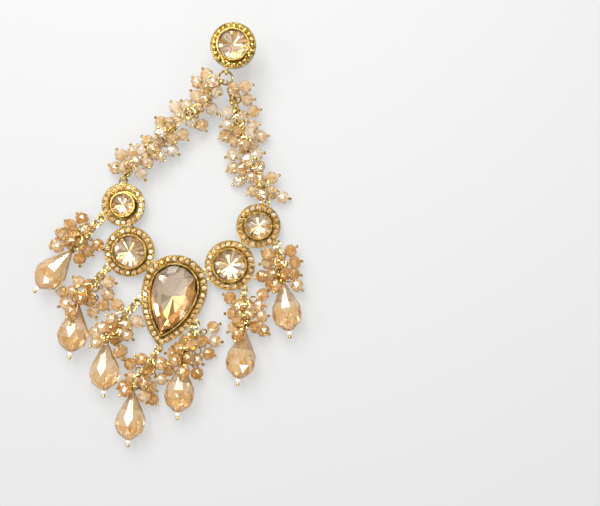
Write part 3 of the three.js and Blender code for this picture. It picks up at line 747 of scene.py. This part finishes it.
def lay_strings():
    """Rings, chain and ends of each strand and cluster, as they hang in one another."""
    strings = {}
    level = Vector((0, 0, 1)).cross(ring_way).normalized()
    for name, turn in (("left_strand", -STRAND_SPREAD), ("right_strand", STRAND_SPREAD)):
        way = ring_way * math.cos(math.radians(turn)) + level * math.sin(math.radians(turn))
        top = ring_place + way * linked(JUMP_RING, LINK_RING)
        eye, out = eye_at(*STRAND_ENDS[name])
        middle = [Vector(point) for point in ROUTES[name]]
        back = (middle[-1] - eye).normalized()
        foot = eye + back * linked(EYE_RING, LINK_RING)
        strings[name] = {
            "eye": eye, "out": out, "links": [(top, way, 90), (foot, back, 90)],
            "start": STRAND_STARTS[name],
            "path": [top + way * LINK_RING, *middle, foot + back * LINK_RING],
        }
    for i, one in enumerate(HANGINGS):
        eye, out = eye_at(*one["eye"])
        x, y, bearing = one["drop"]
        along = heading(bearing - 90)
        tip = Vector((x, y, DROP_AXIS_HEIGHT)) - along * DROP_LENGTH
        loop = tip - along * LOOP_RING
        way = (loop - eye).normalized()
        roll = RING_ROLL if i % 2 else -RING_ROLL
        hang = eye + way * linked(EYE_RING, HANG_RING)
        top = hang + way * linked(HANG_RING, LINK_RING)
        foot = loop - way * linked(LINK_RING, LOOP_RING)
        path = [top + way * LINK_RING, foot - way * LINK_RING]
        strings[f"cluster_{i + 1}"] = {
            "eye": eye, "out": out, "hang": hang, "way": way, "roll": roll, "tip": tip,
            "along": along, "loop": loop, "path": path,
            "links": [(top, way, roll + 90), (foot, way, roll + 90)],
            "start": one["start"] - (path[0] - eye).length,
        }
    return strings


def path_length(path):
    return sum((b - a).length for a, b in zip(path, path[1:]))


def place_on(path, distance):
    """Place at a distance along a path or straight on past its ends, with the ways on and right."""
    left = distance
    leg = 0
    while leg < len(path) - 2 and left > (path[leg + 1] - path[leg]).length:
        left -= (path[leg + 1] - path[leg]).length
        leg += 1
    ahead = (path[leg + 1] - path[leg]).normalized()
    return path[leg] + ahead * left, ahead, Vector((ahead.y, -ahead.x, 0)).normalized()


def charted(strings, charts):
    """Beads where the charts have them: over the chain, and lower the further they lie off it."""
    beads = []
    for name, one in strings.items():
        length = path_length(one["path"])
        for along, side in charts[name]:
            at = along + one["start"]
            home, _, right = place_on(one["path"], at)
            foot = place_on(one["path"], min(max(at, WIRE), length - WIRE))[0]
            home = home + right * side
            home.z = max(foot.z + STRAND_CLIMB - SIDE_SLOPE * abs(side), BEAD_RADIUS)
            beads.append({"name": name, "foot": foot, "home": home, "place": home.copy()})
    return beads


def blocks_around(place, along, roll, radius):
    """Twelve blocks round a ring."""
    turned = frame_at(place, along, roll)
    spots = [heading(30 * k) * radius for k in range(12)]
    return [("", turned @ Vector((spot.x, 0, spot.y)), WIRE + GAP) for spot in spots]


def string_blocks(strings):
    """Name, place and clearance of what beads keep off: rings, drops and other strings' chains."""
    blocks = []
    hung = [one for one in strings.values() if "tip" in one]
    for one in hung:
        blocks += blocks_around(one["eye"], one["out"], 0, EYE_RING)
        blocks += blocks_around(one["hang"], one["way"], one["roll"], HANG_RING)
        blocks += blocks_around(one["loop"], one["along"], one["roll"], LOOP_RING)
        for share, radius in DROP_BLOCKS:
            where = one["tip"] + one["along"] * share * DROP_LENGTH
            blocks.append(("", where, radius * DROP_RADIUS + GAP))
    for name in ROUTES:
        blocks += blocks_around(strings[name]["eye"], strings[name]["out"], 0, EYE_RING)
    blocks += blocks_around(ring_place, ring_way, 0, JUMP_RING)
    for name, one in strings.items():
        for k in range(math.ceil(path_length(one["path"]))):
            blocks.append((name, place_on(one["path"], k)[0], CHAIN_RADIUS + GAP))
    return blocks


def setting_discs():
    """Centre, radius and clear height of each setting, the pear's as circles inside its outline."""
    discs = []
    for one in SETTINGS.values():
        top = one["z"] + max(one["top"], one["girdle_at"]) + GIRDLE + CROWN
        discs.append((Vector((one["x"], one["y"])), one["rim"], top))
    for down in range(0, math.ceil(PEAR_TIP), 2):
        centre = Matrix.Rotation(math.radians(PEAR_TILT), 3, "Z") @ Vector((0, -down, 0))
        radius = PEAR_FLANK - math.hypot(PEAR_FLANK - PEAR_ROUND, down)
        discs.append((centre.xy, radius, LOW_CUP["girdle_at"] + GIRDLE + CROWN))
    return discs


def settle(beads, blocks, discs, rounds=90, free_rounds=30):
    """Moves beads apart, out of the blocks and off the settings, and keeps them near home."""
    for turn in range(rounds):
        for i, bead in enumerate(beads):
            place = bead["place"]
            for other in beads[i + 1:]:
                want = 2 * BEAD_RADIUS + (0.06 if other["name"] == bead["name"] else GAP)
                away = place - other["place"]
                near = away.length
                if near < want:
                    away *= 0.5 * (want - near) / near
                    place += away
                    other["place"] -= away
            for name, where, clear in blocks:
                if name == bead["name"]:
                    continue
                away = place - where
                if away.length_squared < (BEAD_RADIUS + clear) ** 2:
                    place += away * ((BEAD_RADIUS + clear - away.length) / away.length)
            for centre, radius, top in discs:
                if place.z - BEAD_RADIUS > top + GAP:
                    continue
                away = place.xy - centre
                want = radius + BEAD_RADIUS + GAP
                if away.length < want:
                    away *= (want - away.length) / away.length
                    place += Vector((away.x, away.y, 0))
            if turn < rounds - free_rounds:
                place += (bead["home"] - place) * 0.04
            place.z = max(place.z, BEAD_RADIUS)


strings = lay_strings()
blocks = string_blocks(strings)
discs = setting_discs()
beads = charted(strings, CHARTS)
settle(beads, blocks, discs)
inner = charted(strings, INNER_CHARTS)
settle(inner, blocks + [("bead", bead["place"], BEAD_RADIUS * 0.72) for bead in beads], discs, 40, 10)


def rondelle(bm, sides=10):
    """Faceted rondelle about Z: rows of facets above and below a row of lozenges at its waist."""
    r, h = BEAD_RADIUS, BEAD_LENGTH / 2
    rows = [(0.3, -h), (0.74 * r, -0.72 * h), (r, 0), (0.74 * r, 0.72 * h), (0.3, h)]
    lathe(bm, rows, sides)
    waist = [v for v in bm.verts if abs(v.co.z) < 1e-4]
    bmesh.ops.rotate(bm, verts=waist, cent=(0, 0, 0), matrix=Matrix.Rotation(math.pi / sides, 3, "Z"))
    bmesh.ops.triangulate(bm, faces=bm.faces)
    bmesh.ops.holes_fill(bm, edges=[e for e in bm.edges if e.is_boundary], sides=sides)


def headpin(bm):
    """Ball end of a headpin, with the bit of wire that shows outside its bead."""
    lathe(bm, [
        (0, -0.3), (0.17, -0.3), (0.17, 0.1), (0.34, 0.2), (0.45, 0.45), (0.34, 0.75), (0, 0.88),
    ], 10)


# Glass beads: champagne glass, a little cloudy inside, paler or more amber from facet to facet
bead_glass, tree, output = material("bead_glass")
tint = add_node(tree, "ShaderNodeAttribute", attribute_name="facet", attribute_type="GEOMETRY")
tone = ramp(tree, tint.outputs["Fac"], [
    (0.05, "#D89842"), (0.3, "#F0C27C"), (0.6, "#FFE7C2"), (0.85, "#FFF6EE"),
])
shader = add_node(tree, "ShaderNodeBsdfPrincipled", {
    "Roughness": 0.03, "IOR": 1.7, "Transmission Weight": 0.75,
}, {"Base Color": tone})
tree.links.new(shader.outputs["BSDF"], output.inputs["Surface"])

LINK_STEP = 1.6
LINK_ROLL = 38
CURL_STEP = 1.3
SPARE_HEIGHT = 2.7
STRAND_SPARES = 5
CLUSTER_SPARES = 2
STRAND_TINTS = (0.1, 1.0)
CLUSTER_TINTS = (-0.15, 0.8)
bead_template = template(rondelle)
pin_template = template(headpin)
link_template = template(torus, 1.15, 0.26, 16, 6)
end_template = template(torus, LINK_RING, WIRE, 18, 7)
spare_template = template(torus, 1.45, 0.28, 20, 7)
curl_template = template(torus, 0.92, 0.22, 16, 6)
for name, one in strings.items():
    glass, wires = bmesh.new(), bmesh.new()
    draw = random.Random(name)
    for bead in [b for b in beads + inner if b["name"] == name]:
        way = bead["place"] - bead["foot"]
        turned = frame_at(bead["place"], way, draw.uniform(0, 36))
        stamp(glass, bead_template, turned)
        stamp(wires, pin_template, turned @ Matrix.Translation((0, 0, BEAD_LENGTH / 2)))
        reach = max(way.length - BEAD_LENGTH / 2, 0)
        loops = max(1, round(reach / CURL_STEP))
        for k in range(loops):
            spot = bead["foot"] + way.normalized() * (k * reach / loops)
            roll = draw.uniform(-25, 25) + (60 if k % 2 else 0)
            stamp(wires, curl_template, frame_at(spot, way, roll))
    length = path_length(one["path"])
    count = round(length / LINK_STEP)
    stretch = Matrix.Diagonal((0.8, 1, 1.05, 1))
    for k in range(count):
        place, ahead, _ = place_on(one["path"], (k + 0.5) * length / count)
        roll = LINK_ROLL if k % 2 else -LINK_ROLL
        stamp(wires, link_template, frame_at(place, ahead, roll) @ stretch)
    for place, way, roll in one["links"]:
        stamp(wires, end_template, frame_at(place, way, roll))
    spares = STRAND_SPARES if name in ROUTES else CLUSTER_SPARES
    for k in range(spares):
        place, ahead, right = place_on(one["path"], (k + 0.6) * length / spares)
        place = place + right * draw.uniform(-1.0, 1.0) + Vector((0, 0, SPARE_HEIGHT))
        lean = ahead + right * draw.uniform(-0.8, 0.8) + Vector((0, 0, draw.uniform(-0.3, 0.3)))
        stamp(wires, spare_template, frame_at(place, lean, draw.uniform(-30, 30)))
    bmesh.ops.recalc_face_normals(glass, faces=glass.faces)
    bmesh.ops.recalc_face_normals(wires, faces=wires.faces)
    low, high = STRAND_TINTS if name in ROUTES else CLUSTER_TINTS
    made = piece(f"{name}_beads", glass, bead_glass, [name])
    tint_facets(made, name, len(bead_template.polygons), low, high)
    piece(f"{name}_chain", wires, gold, [name], smooth=True)


# Hang rings and drops
# A gold ring hangs each cluster from its setting. Below it a long-faceted glass drop hangs on a
# pin that runs through it, ends in a seed pearl and a gold ball, and is looped at the top.

DROP_PROFILE = [
    # share of the length, share of the radius
    (-0.02, 0.13), (0.49, 0.91), (0.67, 1.0), (0.85, 0.85), (1.0, 0.32),
]
PEARL_RADIUS = 0.7


def drop_glass_body(bm, sides=10):
    """Pear drop about Z, its facets in long rows that change over at each level."""
    rows = [(radius * DROP_RADIUS, share * DROP_LENGTH) for share, radius in DROP_PROFILE]
    lathe(bm, rows, sides)
    shoulder = [v for v in bm.verts if abs(v.co.z - rows[2][1]) < 1e-3]
    bmesh.ops.rotate(bm, verts=shoulder, cent=(0, 0, 0), matrix=Matrix.Rotation(math.pi / sides, 3, "Z"))
    bmesh.ops.triangulate(bm, faces=bm.faces)
    bmesh.ops.holes_fill(bm, edges=[e for e in bm.edges if e.is_boundary], sides=sides)


def drop_metal(bm):
    """Pin with its ball, and the coil under the loop."""
    foot = DROP_LENGTH + 2 * PEARL_RADIUS
    lathe(bm, [
        (0, -0.9), (0.22, -0.9), (0.12, -0.2), (0.12, foot - 0.2), (0.22, foot - 0.1),
        (0.38, foot + 0.12), (0.5, foot + 0.45), (0.38, foot + 0.8), (0, foot + 0.95),
    ], 12)
    coil_template = template(torus, 0.42, 0.16, 12, 6)
    level = Matrix.Rotation(math.pi / 2, 4, "X")
    for k in range(3):
        stamp(bm, coil_template, Matrix.Translation((0, 0, -0.1 - 0.3 * k)) @ level)


drop_glass, tree, output = material("drop_glass")
tint = add_node(tree, "ShaderNodeAttribute", attribute_name="facet", attribute_type="GEOMETRY")
tone = ramp(tree, tint.outputs["Fac"], [(0.1, "#E0A450"), (0.4, "#F4CE94"), (0.8, "#FAE8CE")])
shader = add_node(tree, "ShaderNodeBsdfPrincipled", {
    "Roughness": 0.02, "IOR": 1.6, "Transmission Weight": 0.8,
}, {"Base Color": tone})
tree.links.new(shader.outputs["BSDF"], output.inputs["Surface"])

pearl, tree, output = material("seed_pearl")
shader = add_node(tree, "ShaderNodeBsdfPrincipled", {
    "Base Color": srgb("#F4EEE6"), "Roughness": 0.25, "Coat Weight": 0.6, "Coat Roughness": 0.1,
    "Subsurface Weight": 0.2, "Subsurface Scale": 0.0004,
})
tree.links.new(shader.outputs["BSDF"], output.inputs["Surface"])

body_template = template(drop_glass_body)
metal_template = template(drop_metal)
hoop_template = template(torus, LOOP_RING, WIRE, 20, 8)
for i in range(7):
    one = strings[f"cluster_{i + 1}"]
    node = [f"drop_{i + 1}"]
    one_ring(f"hang_ring_{i + 1}", one["hang"], one["way"], one["roll"], HANG_RING)
    lie = frame_at(one["tip"], one["along"])
    draw = random.Random(i)
    bm = bmesh.new()
    stamp(bm, body_template, lie @ Matrix.Rotation(draw.uniform(-0.03, 0.03), 4, "Z"))
    made = piece(f"drop_{i + 1}_glass", bm, drop_glass, node)
    # Facets painted amber towards the drop's lower end and pale towards its loop, a painted glow of light
    # passing through to the far end, with chance variation from facet to facet
    values = made.data.attributes.new("facet", "FLOAT", "FACE")
    for face, value in zip(made.data.polygons, values.data):
        share = (face.center / MM - one["tip"]).dot(one["along"]) / DROP_LENGTH
        value.value = (1 - share) * 0.5 + draw.random() * 0.5
    bm = bmesh.new()
    stamp(bm, metal_template, lie)
    stamp(bm, hoop_template, frame_at(one["loop"], one["along"], one["roll"]))
    piece(f"drop_{i + 1}_pin", bm, gold, node, smooth=True)
    bm = bmesh.new()
    ball(bm, PEARL_RADIUS, 3)
    bmesh.ops.transform(
        bm, matrix=lie @ Matrix.Translation((0, 0, DROP_LENGTH + PEARL_RADIUS)), verts=bm.verts,
    )
    piece(f"drop_{i + 1}_pearl", bm, pearl, node, smooth=True)
